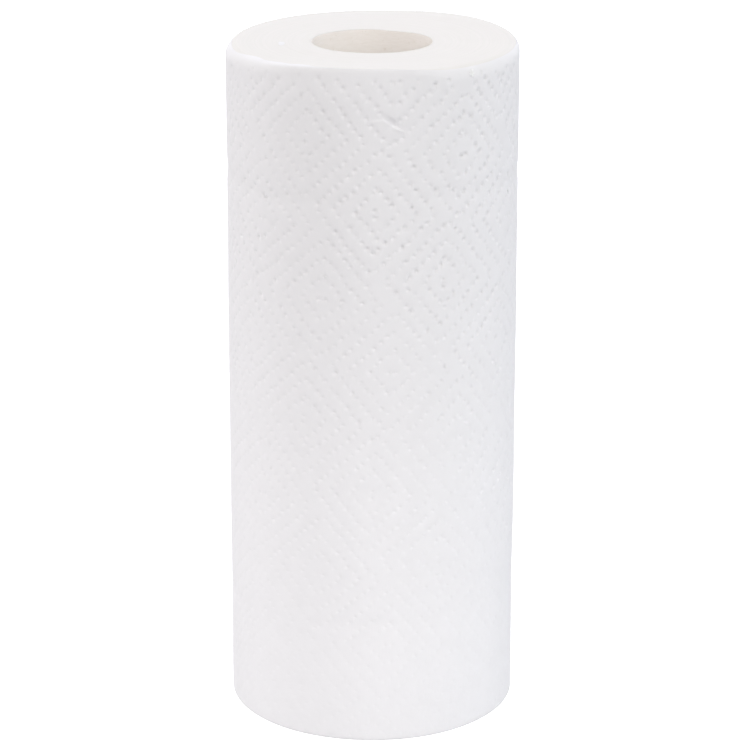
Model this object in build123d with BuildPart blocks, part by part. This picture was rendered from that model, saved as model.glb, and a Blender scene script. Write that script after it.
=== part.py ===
# Paper towel roll standing on its end: a perforated paper web wound on a cardboard core.
# Millimetres, +Z up along the roll's axis, origin at the centre of the end it stands on.
# The front faces -Y, and the free edge of the web lies at the back.
import os

from build123d import *

# The wound web. The roll's radius is taken just past the free edge, where the web lies lowest.
web_width = 237.0
roll_radius = 50.0
sheet_thickness = 0.5
tail_azimuth = 72.0
top_rim_round = 2.6
foot_rim_bevel = 1.2
eye_rim_bevel = 0.5

# The core that the web is wound on, cut a little shorter than the web is wide.
core_bore_radius = 20.5
core_wall = 0.8
core_setback = 0.5
glue_line = 0.1

# The creases between turns on both end faces. One drawn turn stands for a few turns of the real web.
turn_pitch = 3.2
turn_crease_depth = 0.35
eye_margin = 1.4
rim_margin = 0.7

# What the web is wound on, and where the creases on the end faces start and stop.
core_outer_radius = core_bore_radius + core_wall
winding_radius = core_outer_radius + glue_line
first_turn_radius = winding_radius + eye_rim_bevel + eye_margin
end_face_radius = roll_radius - max(top_rim_round, foot_rim_bevel)
last_turn_radius = end_face_radius - rim_margin - turn_crease_depth - turn_pitch / 2
half_turn_count = 1 + int((last_turn_radius - first_turn_radius) / (turn_pitch / 2))

# The free edge of the web lies in this plane, which holds the roll's axis.
tail_plane = Plane.XZ.rotated((0, 0, tail_azimuth))
half_turn = 180


def spiral_halves(start_radius, pitch, count):
    """Side, centre distance and radius of each half circle of a spiral that grows by one pitch a turn."""
    halves = []
    for index in range(count):
        radius = start_radius + index * pitch / 2
        halves.append((1, 0, radius) if index % 2 == 0 else (-1, pitch / 2, radius))
    return halves


def upright_axis(distance):
    """The upright line in the tail plane at a distance from the roll's axis."""
    return Axis(tail_plane.from_local_coords((distance, 0, 0)), (0, 0, 1))


# Paper roll: two half turns whose radii differ leave the step of the web's free edge.
with BuildPart() as paper_roll:
    for side, centre, radius in spiral_halves(roll_radius, sheet_thickness, 2):
        outer_x = centre + side * radius
        outermost = -1 if side == 1 else 0
        with BuildSketch(tail_plane) as half_section:
            with BuildLine():
                Polyline((centre, 0), (outer_x, 0), (outer_x, web_width), (centre, web_width), close=True)
            make_face()
            top_corner = half_section.vertices().group_by(Axis.X)[outermost].sort_by(Axis.Y)[-1]
            fillet(top_corner, radius=top_rim_round)
            foot_corner = half_section.vertices().group_by(Axis.X)[outermost].sort_by(Axis.Y)[0]
            chamfer(foot_corner, length=foot_rim_bevel)
        revolve(axis=upright_axis(centre), revolution_arc=half_turn)

    # The eye, which the core fills, with its edge eased at both ends.
    with BuildSketch(tail_plane):
        with BuildLine():
            Polyline(
                (0, 0),
                (winding_radius + eye_rim_bevel, 0),
                (winding_radius, eye_rim_bevel),
                (winding_radius, web_width - eye_rim_bevel),
                (winding_radius + eye_rim_bevel, web_width),
                (0, web_width),
                close=True,
            )
        make_face()
    revolve(axis=Axis.Z, mode=Mode.SUBTRACT)

    # The spiral crease between the turns: a square on its corner, half sunk into each end face.
    crease_side = turn_crease_depth * 2**0.5
    for side, centre, radius in spiral_halves(first_turn_radius, turn_pitch, half_turn_count):
        with BuildSketch(tail_plane):
            with Locations((centre + side * radius, 0), (centre + side * radius, web_width)):
                Rectangle(crease_side, crease_side, rotation=45)
        revolve(axis=upright_axis(centre), revolution_arc=half_turn, mode=Mode.SUBTRACT)
paper_roll.part.label = "paper_roll"

# Core tube: a plain cardboard tube, its ends cut square.
with BuildPart() as core_tube:
    with BuildSketch(Plane.XY.offset(core_setback)):
        Circle(core_outer_radius)
        Circle(core_bore_radius, mode=Mode.SUBTRACT)
    extrude(amount=web_width - 2 * core_setback)
core_tube.part.label = "core_tube"

os.makedirs("parts", exist_ok=True)
export_step(paper_roll.part, "parts/paper_roll.step")
export_step(core_tube.part, "parts/core_tube.step")
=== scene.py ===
"""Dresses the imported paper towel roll: embossed sheets, wound turns, cardboard core, bright studio.

The classes hold their sizes in millimetres and turn them into metres when a mesh is made. Every
mesh is in the CAD model's own frame: +Z up the roll's axis, origin at the centre of the end that
the roll stands on, front facing -Y. Azimuths are in degrees, counter-clockwise seen from above,
and the front centre of the roll is at 270 degrees.

On the web itself a place is given by two lengths, as if it were unrolled: `along`, the millimetres
to the right of the front centre, and `up`, the millimetres above the end the roll stands on.
"""
import logging
import math
from dataclasses import dataclass, field
from enum import Enum
from typing import Any, Callable, Iterable

import bpy
import numpy as np
from mathutils import Matrix, Vector
from mathutils.geometry import delaunay_2d_cdt
from mathutils.kdtree import KDTree


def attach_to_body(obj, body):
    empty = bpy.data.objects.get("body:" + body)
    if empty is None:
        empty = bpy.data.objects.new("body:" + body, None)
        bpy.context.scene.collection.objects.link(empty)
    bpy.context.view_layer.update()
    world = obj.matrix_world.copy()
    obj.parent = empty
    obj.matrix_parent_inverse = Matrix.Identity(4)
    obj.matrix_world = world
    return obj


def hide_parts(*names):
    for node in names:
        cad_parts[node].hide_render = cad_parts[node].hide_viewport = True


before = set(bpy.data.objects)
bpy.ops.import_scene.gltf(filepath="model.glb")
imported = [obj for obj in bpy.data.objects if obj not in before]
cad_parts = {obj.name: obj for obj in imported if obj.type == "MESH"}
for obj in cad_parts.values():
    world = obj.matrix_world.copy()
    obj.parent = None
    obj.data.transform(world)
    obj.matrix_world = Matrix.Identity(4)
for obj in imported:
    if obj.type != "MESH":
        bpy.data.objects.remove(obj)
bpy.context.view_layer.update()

log = logging.getLogger("roll")

MM = 0.001
FRONT_AZIMUTH = 270.0
WHOLE_TURN = 2 * math.pi
QUARTER_TURN = math.pi / 2
UV_MAP = "unrolled_web"
# The web's UV map runs in decimetres, so that a pattern's scale is 100 divided by its millimetres.
UV_PER_MM = 0.01
# One sheet, from perforation to perforation, and how far the next one runs on beneath the tail.
SHEET_LENGTH = 230.0
UNDER_TAIL = 4.0

Pair = tuple[float, float]
Triple = tuple[float, float, float]
Series = tuple[float, ...]
Face = tuple[int, ...]
Array = np.ndarray
Piece = bpy.types.Object
Material = bpy.types.Material
Socket = bpy.types.NodeSocket
Inputs = dict[str | int, Any]


# Shared helpers


def linear(srgb_hex: str) -> tuple[float, float, float, float]:
    """Turns an sRGB hex colour into the linear colour that Blender's sockets take.

    Args:
        srgb_hex: A colour such as "#F1F0F2".

    Returns:
        Linear red, green, blue and an alpha of one.
    """
    channels = [int(srgb_hex[place : place + 2], 16) / 255 for place in (1, 3, 5)]
    red, green, blue = [c / 12.92 if c <= 0.04045 else ((c + 0.055) / 1.055) ** 2.4 for c in channels]
    return red, green, blue, 1.0


def add_node(tree: bpy.types.NodeTree, kind: str, inputs: Inputs, **settings: Any) -> bpy.types.Node:
    """Adds one shader node with its settings and its inputs.

    Args:
        tree: The node tree that it goes into.
        kind: Blender's name for the kind of node, after "ShaderNode".
        inputs: For each input socket, by name or number, a value or the output that feeds it.
        settings: The node's own properties.

    Returns:
        The new node.
    """
    node = tree.nodes.new(f"ShaderNode{kind}")
    for name, value in settings.items():
        setattr(node, name, value)
    for socket, value in inputs.items():
        if isinstance(value, Socket):
            tree.links.new(value, node.inputs[socket])
        else:
            node.inputs[socket].default_value = value
    return node


class NodeMaterial:
    """A node material while it is put together."""

    def __init__(self, name: str) -> None:
        """Starts an empty material, named for what it is.

        Args:
            name: What the material is.
        """
        self.material = bpy.data.materials.new(name)
        self.material.use_nodes = True
        self.tree = self.material.node_tree
        self.tree.nodes.clear()

    def place(self) -> Socket:
        """The place on the piece, in metres, in the roll's own frame."""
        return add_node(self.tree, "TexCoord", {}).outputs["Object"]

    def noise(self, inputs: Inputs, **settings: Any) -> Socket:
        """Noise between nought and one."""
        return add_node(self.tree, "TexNoise", inputs, **settings).outputs["Fac"]

    def scaled(self, place: Socket, scale: Triple) -> Socket:
        """A place with each of its three lengths multiplied."""
        return add_node(self.tree, "Mapping", {"Vector": place, "Scale": scale}).outputs["Vector"]

    def spread(self, value: Socket, lowest: float, highest: float, most: float = 1.0) -> Socket:
        """Spreads a value's stretch from lowest to highest over nought to most."""
        inputs = {"Value": value, "From Min": lowest, "From Max": highest, "To Max": most}
        return add_node(self.tree, "MapRange", inputs).outputs["Result"]

    def mix(self, share: Socket, first: Any, second: Any) -> Socket:
        """Mixes two colours."""
        return add_node(self.tree, "Mix", {0: share, 6: first, 7: second}, data_type="RGBA").outputs[2]

    def overlay(self, first: Socket, weight: float, second: Socket) -> Socket:
        """Adds a weighted pattern to another."""
        inputs = {0: first, 1: weight, 2: second}
        return add_node(self.tree, "Math", inputs, operation="MULTIPLY_ADD").outputs[0]

    def close(self, surface: Inputs, height: Socket, bump_mm: float, strength: float) -> Material:
        """Ends the material with its surface and its fine relief.

        Args:
            surface: Inputs of the principled shader.
            height: The pattern that stands out.
            bump_mm: How far it stands out.
            strength: How much of the relief is kept.

        Returns:
            The finished material.
        """
        relief = {"Height": height, "Distance": bump_mm * MM, "Strength": strength}
        normal = add_node(self.tree, "Bump", relief).outputs["Normal"]
        shader = add_node(self.tree, "BsdfPrincipled", {**surface, "Normal": normal})
        add_node(self.tree, "OutputMaterial", {"Surface": shader.outputs["BSDF"]})
        return self.material


def deselect_all() -> None:
    if bpy.context.object is not None and bpy.context.object.mode != "OBJECT":
        bpy.ops.object.mode_set(mode="OBJECT")
    bpy.ops.object.select_all(action="DESELECT")
    bpy.context.view_layer.objects.active = None


def activate(piece: Piece) -> None:
    """Makes one object the only one that is selected, and the active one.

    Args:
        piece: The object.
    """
    deselect_all()
    piece.select_set(True)
    bpy.context.view_layer.objects.active = piece


def select_vertices(piece: Piece, wanted: Callable[[Vector], bool]) -> None:
    """Selects, in edit mode, just the vertices whose place passes a test.

    Args:
        piece: The active object, in edit mode.
        wanted: Says of a vertex's place whether it is wanted.
    """
    bpy.ops.mesh.select_mode(type="VERT")
    bpy.ops.mesh.select_all(action="DESELECT")
    bpy.ops.object.mode_set(mode="OBJECT")
    for vertex in piece.data.vertices:
        vertex.select = wanted(vertex.co)
    bpy.ops.object.mode_set(mode="EDIT")


def thicken(piece: Piece, thickness_mm: float, offset: float) -> None:
    """Gives the active piece's skin a thickness.

    Args:
        piece: The active object.
        thickness_mm: How thick it gets.
        offset: -1 to grow inward, 1 outward, and 0 to both sides.
    """
    ply = piece.modifiers.new("ply", "SOLIDIFY")
    ply.thickness = thickness_mm * MM
    ply.offset = offset
    bpy.ops.object.modifier_apply(modifier="ply")


def settle_place(piece: Piece) -> None:
    """Puts an object's place, turn and size into its mesh, so that the object sits at the origin."""
    activate(piece)
    bpy.ops.object.transform_apply(location=True, rotation=True, scale=True)


def join(pieces: list[Piece], name: str) -> Piece:
    """Joins objects into the first of them.

    Args:
        pieces: The objects.
        name: What the joined object is called.

    Returns:
        The joined object.
    """
    activate(pieces[0])
    for piece in pieces:
        piece.select_set(True)
    bpy.ops.object.join()
    pieces[0].name = pieces[0].data.name = name
    return pieces[0]


def dress(piece: Piece, finish: Material, degrees: float) -> Piece:
    """Gives a piece its finish, shades it smooth and reports it.

    Args:
        piece: The piece.
        finish: Its one material.
        degrees: Edges sharper than this stay sharp.

    Returns:
        The piece.
    """
    piece.data.materials.clear()
    piece.data.materials.append(finish)
    activate(piece)
    bpy.ops.object.shade_smooth_by_angle(angle=math.radians(degrees))
    log.info("%s: %d faces", piece.name, len(piece.data.polygons))
    return piece


def coordinates(piece: Piece) -> Array:
    """Reads a mesh's vertex places, in metres, one row each.

    Args:
        piece: The object whose mesh is read.

    Returns:
        Rows of x, y and z.
    """
    places = np.empty(len(piece.data.vertices) * 3)
    piece.data.vertices.foreach_get("co", places)
    return places.reshape(-1, 3)


def move_vertices(piece: Piece, places_mm: Array) -> None:
    """Moves a mesh's vertices to other places."""
    piece.data.vertices.foreach_set("co", (places_mm * MM).ravel())
    piece.data.update()


def map_to_web(mesh: bpy.types.Mesh, web_places: Array) -> None:
    """Gives a mesh the web's UV map.

    Args:
        mesh: The mesh.
        web_places: Each vertex's place on the unrolled web, in millimetres.
    """
    corner_vertex = np.empty(len(mesh.loops), dtype=np.int32)
    mesh.loops.foreach_get("vertex_index", corner_vertex)
    layer = mesh.uv_layers.new(name=UV_MAP)
    layer.data.foreach_set("uv", (web_places[corner_vertex] * UV_PER_MM).ravel())


def object_from_arrays(name: str, places_mm: Array, faces: Iterable[Face]) -> Piece:
    """Makes a mesh object.

    Args:
        name: The object's name.
        places_mm: One row of x, y and z for each vertex.
        faces: The vertex numbers of each face, counter-clockwise seen from outside.

    Returns:
        The object, linked into the scene, with its origin at the world's.
    """
    mesh = bpy.data.meshes.new(name)
    mesh.from_pydata((places_mm * MM).tolist(), [], [list(map(int, face)) for face in faces])
    mesh.update()
    piece = bpy.data.objects.new(name, mesh)
    bpy.context.scene.collection.objects.link(piece)
    return piece


def ring_faces(lower: range, upper: range, facing_in: bool) -> list[Face]:
    """Joins a ring of numbered points to the ring above it, with faces that look out or in."""
    faces = zip(lower, [*lower[1:], lower[0]], [*upper[1:], upper[0]], upper)
    return [face[:1] + face[:0:-1] if facing_in else face for face in faces]


def ripple(position: Array, seed: int, count: int, lowest: float, highest: float) -> Array:
    """Soft random waves along one direction, as a sum of sines.

    Args:
        position: Where the waves are wanted.
        seed: Picks the waves.
        count: How many sines are summed.
        lowest: The fewest cycles for each unit of position.
        highest: The most cycles for each unit of position.

    Returns:
        One height for each position, about -1 to 1.
    """
    rng = np.random.default_rng(seed)
    total = np.zeros_like(position, dtype=float)
    for cycles, phase in zip(rng.uniform(lowest, highest, count), rng.uniform(0, WHOLE_TURN, count)):
        total += np.sin(WHOLE_TURN * cycles * position + phase)
    return total / math.sqrt(count)


def bell(distance: Array, half_width: float | Array) -> Array:
    """One at no distance, falling softly to nothing past about twice the half width."""
    return np.exp(-((distance / half_width) ** 2))


def lopsided_bell(distance: Array, above: float, below: float) -> Array:
    """A bell with one half width above its middle and another below it."""
    return bell(distance, np.where(distance > 0, above, below))


def plateau(distance: Array, half_width: float, fall: float) -> Array:
    """One within a half width, falling softly to nothing beyond it."""
    return bell(np.clip(np.abs(distance) - half_width, 0, None), fall)


def ramp(value: Array, start: float, length: float) -> Array:
    """Rises evenly from nothing at its start to one over its length, and stays there."""
    return np.clip((value - start) / length, 0, 1)


def lattice(across: Array, upward: Array) -> Array:
    """Every pair of a length along the web and one up it, in rows."""
    return np.stack(np.meshgrid(across, upward), -1)


# The form


@dataclass(frozen=True)
class RollForm:
    """The size of the roll and the small ways in which a soft roll departs from a true cylinder.

    The lengths repeat the CAD part's. The web's radius grows over the half turn that ends at its
    free edge, as the two half turns of the CAD solid do.
    """

    web_width: float = 237.0
    radius: float = 50.0
    sheet: float = 0.5
    tail_azimuth: float = 72.0
    eye_radius: float = 21.4
    # The top rim is crisp at the back and at the middle of the front, but worn round on the left
    # and at the right of the front. Each azimuth has the rim's radius there.
    rim_azimuths: Series = (115, 150, 183, 210, 222, 231, 240, 284, 292, 301, 325, 345, 375, 405)
    rim_rounds: Series = (0.9, 2.6, 4.9, 4.3, 3.7, 2.0, 1.0, 1.0, 2.0, 4.2, 4.8, 3.6, 1.8, 0.9)
    foot_round: float = 0.45
    # The top face stands a little proud towards the back right, and its edge does at the front.
    # Both fade out down the side over a reach.
    proud_height: float = 0.8
    proud_azimuth: float = 45.0
    proud_half_width: float = 36.0
    lift_azimuths: Series = (222, 231, 240, 247, 259, 281, 290, 302)
    lifts: Series = (0.0, 0.5, 0.8, 1.2, 1.5, 1.4, 0.8, 0.0)
    lift_reach: float = 20.0
    # At the left front the sheet's edge laps over the rim by this much, and wavers.
    lap_azimuth: float = 226.0
    lap: float = 2.2
    lap_waver: float = 0.35
    slip_reach: float = 6.0
    # Soft winding: the height of waves up the roll and of those round it, two rings pressed in
    # (height, half width, depth), and a neck and a lean under the front rim (start, length, depth).
    wave_up: float = 0.09
    wave_round: float = 0.07
    upper_ring: Triple = (193.5, 3.0, 0.30)
    lower_ring: Triple = (43.5, 2.2, 0.22)
    neck: Triple = (150.0, 60.0, 0.28)
    front_lean: Triple = (226.0, 11.0, 0.9)
    # The hooked crease: its course, where it is deepest, and the height of its three parts.
    crease_alongs: Series = (-1.0, 3.8, 7.3, 10.8)
    crease_ups: Series = (220.7, 221.2, 219.0, 217.5)
    crease_middle: float = 7.2
    crease_depth: float = 0.85
    crease_swell: float = 0.2
    crease_lip: float = 0.16
    # Where a tuft of torn tissue stands out: its lengths along the web and up it.
    tuft_place: Pair = (36.0, 234.6)
    # The core has been pressed a little from front to back, with one flat towards the back right,
    # which fades out down the core.
    eye_press: float = 1.9
    flat_depth: float = 1.5
    flat_azimuth: float = 62.0
    flat_half_width: float = 24.0
    flat_reach: float = 60.0

    @property
    def full_turn(self) -> float:
        """Length of the unrolled outermost turn."""
        return WHOLE_TURN * self.radius

    @property
    def tail_along(self) -> float:
        """Where the free edge lies along the web."""
        return math.radians(self.tail_azimuth + 360 - FRONT_AZIMUTH) * self.radius

    def azimuth(self, along: Array) -> Array:
        """Azimuth of a length along the web."""
        return FRONT_AZIMUTH + np.degrees(along / self.radius)

    def web_radius(self, azimuth: Array) -> Array:
        """Radius of the web's outside, in a turn that ends at the tail.

        Args:
            azimuth: From the tail's azimuth to 360 more; less is the turn beneath.

        Returns:
            The radius at each azimuth.
        """
        turns_under = np.where(azimuth < self.tail_azimuth, 1.0, 0.0)
        past_tail = azimuth - self.tail_azimuth + 360 * turns_under
        growing = 0.5 * (1 - np.cos(np.radians(np.clip(past_tail - 180, 0, 180))))
        return self.radius + self.sheet * (growing - turns_under)

    def blended(self, azimuth: Array, known: Series, values: Series) -> Array:
        """Soft steps between values that are known at some azimuths.

        Args:
            azimuth: Where the value is wanted.
            known: The azimuths with a value, rising, between 60 and 420 degrees.
            values: The value at each of them.

        Returns:
            The value at each azimuth.
        """
        turn = np.mod(azimuth - 60, 360) + 60
        nearby = (-6, -3, 0, 3, 6)
        return sum(np.interp(turn + away, known, values) for away in nearby) / len(nearby)

    def top_round(self, azimuth: Array) -> Array:
        """Radius of the rounded top rim."""
        return self.blended(azimuth, self.rim_azimuths, self.rim_rounds)

    def proud(self, azimuth: Array) -> Array:
        """How far the back right of the top face stands above the web's width, at the rim."""
        return self.proud_height * bell(self.turn_from(azimuth, self.proud_azimuth), self.proud_half_width)

    def lifted(self, azimuth: Array) -> Array:
        """How far the edge of the top face stands above the web's width at the front."""
        return self.blended(azimuth, self.lift_azimuths, self.lifts)

    def turn_from(self, azimuth: Array, centre: float) -> Array:
        """Degrees from a centre, between -180 and 180."""
        return np.mod(azimuth - centre + 180, 360) - 180

    def fold_over(self, up: Array, azimuth: Array) -> tuple[Array, Array, Array]:
        """Where a place on the web's width comes to lie, its two edges turning in over the rims.

        Args:
            up: Length up the web.
            azimuth: The place's azimuth.

        Returns:
            How far in from the web's radius the place lies, its height, and the angle in radians by
            which the surface leans: positive where it faces up.
        """
        top, foot, width = self.top_round(azimuth), self.foot_round, self.web_width
        up = up - self.edge_slip(azimuth) * ramp(up, width - self.slip_reach, self.slip_reach)
        over_top = np.clip((up - (width - top)) / top, 0, None)
        over_foot = np.clip((foot - up) / foot, 0, None)
        # Past a quarter turn the sheet runs on flat over the end face.
        flat = np.clip(over_top - QUARTER_TURN, 0, None)
        over_top = over_top - flat
        inset = top * (1 - np.cos(over_top) + flat) + foot * (1 - np.cos(over_foot))
        height = np.clip(up, foot, width - top) + top * np.sin(over_top) - foot * np.sin(over_foot)
        raised = self.proud(azimuth) + self.lifted(azimuth)
        height += raised * ramp(up, width - self.lift_reach, self.lift_reach)
        return inset, height, over_top - over_foot

    def relief(self, along: Array, up: Array) -> Array:
        """How far the wound web stands out from its true radius, from soft winding and handling.

        Args:
            along: Length along the web.
            up: Length up the web.

        Returns:
            Millimetres outward.
        """
        turns = along / self.full_turn
        soft = self.wave_up * ripple(up / 100, 11, 5, 0.5, 2.4) * (1 + 0.4 * ripple(turns, 12, 3, 1, 3))
        soft += self.wave_round * ripple(turns + 0.3 * up / self.web_width, 13, 6, 1.5, 7)
        height, half_width, depth = self.upper_ring
        # The upper ring wavers and nearly ends at the front, and the lower one climbs and comes and goes.
        ends = 0.55 + 0.45 * np.tanh((np.abs(along) - 18) / 12)
        upper = depth * bell(up - height - 0.8 * np.sin(along / 19), half_width) * ends
        height, half_width, depth = self.lower_ring
        lower = depth * bell(up - height - 0.05 * along, half_width) * (0.6 + 0.4 * np.sin(along / 14 + 1))
        start, length, depth = self.neck
        neck = depth * ramp(up, start, length)
        start, length, depth = self.front_lean
        lean = depth * ramp(up, start, length) ** 1.6 * plateau(along + 12, 18, 7)
        return soft - upper - lower - neck - lean

    def crease_height(self, along: Array) -> Array:
        """How far up the web the hooked crease lies, at each length along it."""
        return np.interp(along, self.crease_alongs, self.crease_ups)

    def hooked_crease(self, along: Array, up: Array) -> Array:
        """The small hooked crease pressed into the front, near the top.

        The paper sinks in gently above it and comes back in a short step, whose lip catches the
        light.

        Args:
            along: Length along the web.
            up: Length up the web.

        Returns:
            Millimetres outward: negative in the crease, and positive on the lip below it.
        """
        above = up - self.crease_height(along)
        past = along - self.crease_middle
        hollow = bell(past, 2.5) + 0.2 * bell(along - 2.5, 2.6)
        lip = plateau(past, 2.6, 1.1) + 0.4 * bell(along - 1.0, 2.2)
        sunk = self.crease_depth * lopsided_bell(above - 0.5, 1.45, 0.42)
        swollen = self.crease_swell * lopsided_bell(above - 2.7, 3.2, 0.9)
        return hollow * (swollen - sunk) + self.crease_lip * lip * bell(above + 0.35, 0.4)

    def edge_slip(self, azimuth: Array) -> Array:
        """How far the outermost sheet's top edge has slipped down past the turn inside it.

        Args:
            azimuth: Where on the rim.

        Returns:
            Millimetres down; negative where it reaches further over the rim instead.
        """
        turn = np.mod(azimuth, 360)
        lapped = (self.lap + self.lap_waver * np.sin(turn / 2.1)) * plateau(turn - self.lap_azimuth, 14, 8)
        return 0.15 * bell(turn - 276, 12) - lapped

    def edge_gap(self, azimuth: Array) -> Array:
        """Width of the crack inside the sheet's top edge, which is there only at the front."""
        return 0.05 * bell(np.mod(azimuth, 360) - 272, 20)

    def eye_shift(self, azimuth: Array, height: Array) -> Array:
        """How far the eye and the core are pressed out of round.

        Args:
            azimuth: Where round the eye.
            height: Height above the end that the roll stands on.

        Returns:
            Millimetres outward.
        """
        pressed = -self.eye_press * np.sin(np.radians(azimuth)) ** 2
        flat = self.flat_depth * bell(self.turn_from(azimuth, self.flat_azimuth), self.flat_half_width)
        return pressed - flat * np.exp((height - self.web_width) / self.flat_reach)

    def cylinder_places(self, radius: Array, azimuth: Array, height: Array) -> Array:
        """Rows of x, y and z from radius, azimuth and height."""
        turn = np.radians(azimuth)
        return np.stack([radius * np.cos(turn), radius * np.sin(turn), height + 0 * radius], axis=-1)


# The finishes


@dataclass(frozen=True)
class EmbossedTissue:
    """Two-ply kitchen tissue of bleached fibre, creped on the drying drum and embossed.

    It is matt and lets a little light through, so its pits have soft shadows. Crepe ridges run
    across the web, up the standing roll. The real ridges are 0.2 mm apart and its fibres 0.02 mm
    thick. Both are drawn coarser here, so that they show.
    """

    name: str = "bleached_embossed_tissue"
    paper: str = "#E6E5E9"
    thin_places: str = "#E4E3E7"
    crepe_mm: float = 0.55
    crepe_length_mm: float = 5.0
    fibre_mm: float = 0.35
    formation_mm: float = 6.0
    roughness: float = 0.92
    sheen: float = 0.08
    show_through: float = 0.25
    show_through_mm: float = 0.5
    bump_mm: float = 0.03

    def build(self) -> Material:
        """Makes the material, which reads the web's own UV map.

        Returns:
            The material.
        """
        made = NodeMaterial(self.name)
        web = add_node(made.tree, "UVMap", {}, uv_map=UV_MAP).outputs["UV"]

        def grains(along_mm: float, up_mm: float, detail: float) -> Socket:
            """Noise whose grains have a real size along the web and up it."""
            placed = made.scaled(web, (1 / (along_mm * UV_PER_MM), 1 / (up_mm * UV_PER_MM), 1.0))
            return made.noise({"Vector": placed, "Scale": 1.0, "Detail": detail, "Roughness": 0.6})

        clouds = made.spread(grains(self.formation_mm, self.formation_mm, 3.0), 0.35, 0.7)
        crepe = grains(self.crepe_mm, self.crepe_length_mm, 2.0)
        fibres = grains(self.fibre_mm, self.fibre_mm, 3.0)
        surface = {
            "Base Color": made.mix(clouds, linear(self.paper), linear(self.thin_places)),
            "Roughness": self.roughness,
            "Sheen Weight": self.sheen,
            **shining_through(self.show_through, self.show_through_mm),
        }
        return made.close(surface, made.overlay(crepe, 0.8, fibres), self.bump_mm, 0.7)


def shining_through(weight: float, reach_mm: float) -> Inputs:
    """Inputs of the principled shader that let light through, all colours alike."""
    even = (1.0, 1.0, 1.0)
    return {"Subsurface Weight": weight, "Subsurface Radius": even, "Subsurface Scale": reach_mm * MM}


@dataclass(frozen=True)
class CutTissueEdges:
    """The cut ends of some fifty-seven turns of tissue, side by side.

    A log saw leaves them matt and slightly fuzzy. Their colour is a little warmer and darker than the face
    of the sheet: painted shade for the light that is lost between the turns.
    """

    # The base is darker and warmer than the sheet's face: painted shade for the light lost between the
    # turns.
    paper: str = "#E1DEDD"
    # A still darker tone, painted shade between the turns, laid in patches by noise rather than in the
    # creases.
    painted_crease_shade: str = "#DEDCDA"
    fuzz_mm: float = 0.5
    band_mm: float = 1.1
    roughness: float = 0.95
    show_through: float = 0.3
    show_through_mm: float = 0.7
    bump_mm: float = 0.08

    def build(self) -> Material:
        """Makes the material, whose bands follow the distance from the roll's axis.

        Returns:
            The material.
        """
        made = NodeMaterial("sawn_tissue_edges")
        place = made.place()
        flat = add_node(made.tree, "VectorMath", {0: place, 1: (1.0, 1.0, 0.0)}, operation="MULTIPLY")
        from_axis = add_node(made.tree, "VectorMath", {0: flat.outputs["Vector"]}, operation="LENGTH")
        turns = {"W": from_axis.outputs["Value"], "Scale": 1 / (self.band_mm * MM), "Detail": 4.0}
        bands = made.noise(turns, noise_dimensions="1D")
        grain = {"Vector": place, "Scale": 1 / (self.fuzz_mm * MM), "Detail": 4.0, "Roughness": 0.65}
        fuzz = made.noise(grain)
        # Where the painted shade between the turns falls: fuzz and bands round the axis, both noise.
        deep = made.spread(made.overlay(fuzz, 0.4, bands), 0.5, 0.95)
        surface = {
            "Base Color": made.mix(deep, linear(self.paper), linear(self.painted_crease_shade)),
            "Roughness": self.roughness,
            **shining_through(self.show_through, self.show_through_mm),
        }
        return made.close(surface, fuzz, self.bump_mm, 0.6)


@dataclass(frozen=True)
class Greyboard:
    """Spiral-wound core board of recycled fibre, with a light, slightly warm lining ply.

    Long fibres lie along the ply, which winds up the tube, and small darker flecks of recycled
    print show in it.
    """

    board: str = "#F7F3F1"
    darker_fibre: str = "#ECE7E2"
    fleck: str = "#DFD7CE"
    fibre_mm: float = 0.6
    fibre_length_mm: float = 3.0
    fleck_mm: float = 1.4
    ply_rise: float = 0.5
    roughness: float = 0.88
    bump_mm: float = 0.04

    def build(self) -> Material:
        """Makes the material on the tube's object coordinates.

        Returns:
            The material.
        """
        made = NodeMaterial("recycled_core_board")
        place = made.place()
        around = 1 / (self.fibre_length_mm * MM)
        laid = made.scaled(place, (around, around, 1 / (self.fibre_mm * MM)))
        fibres = made.noise({"Vector": laid, "Scale": 1.0, "Detail": 4.0, "Distortion": self.ply_rise})
        flecks = made.noise({"Vector": place, "Scale": 1 / (self.fleck_mm * MM), "Detail": 2.0})
        body = made.mix(fibres, linear(self.board), linear(self.darker_fibre))
        colour = made.mix(made.spread(flecks, 0.66, 0.74, 0.4), body, linear(self.fleck))
        return made.close({"Base Color": colour, "Roughness": self.roughness}, fibres, self.bump_mm, 0.5)


@dataclass(frozen=True)
class StudioBoard:
    """The floor: a wide, bright white board, lit hard enough from all sides to hold no shadow."""

    white: str = "#FCFCFD"
    glow: float = 0.5
    grain_mm: float = 4.0
    roughness: float = 0.9
    bump_mm: float = 0.02

    def build(self) -> Material:
        """Makes the material, whose faint glow stands for the light under a white sweep.

        Returns:
            The material.
        """
        made = NodeMaterial("white_studio_board")
        grain = made.noise({"Vector": made.place(), "Scale": 1 / (self.grain_mm * MM)})
        surface = {
            "Base Color": linear(self.white),
            "Roughness": self.roughness,
            "Emission Color": linear(self.white),
            "Emission Strength": self.glow,
        }
        return made.close(surface, grain, self.bump_mm, 0.2)


# The embossing


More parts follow.
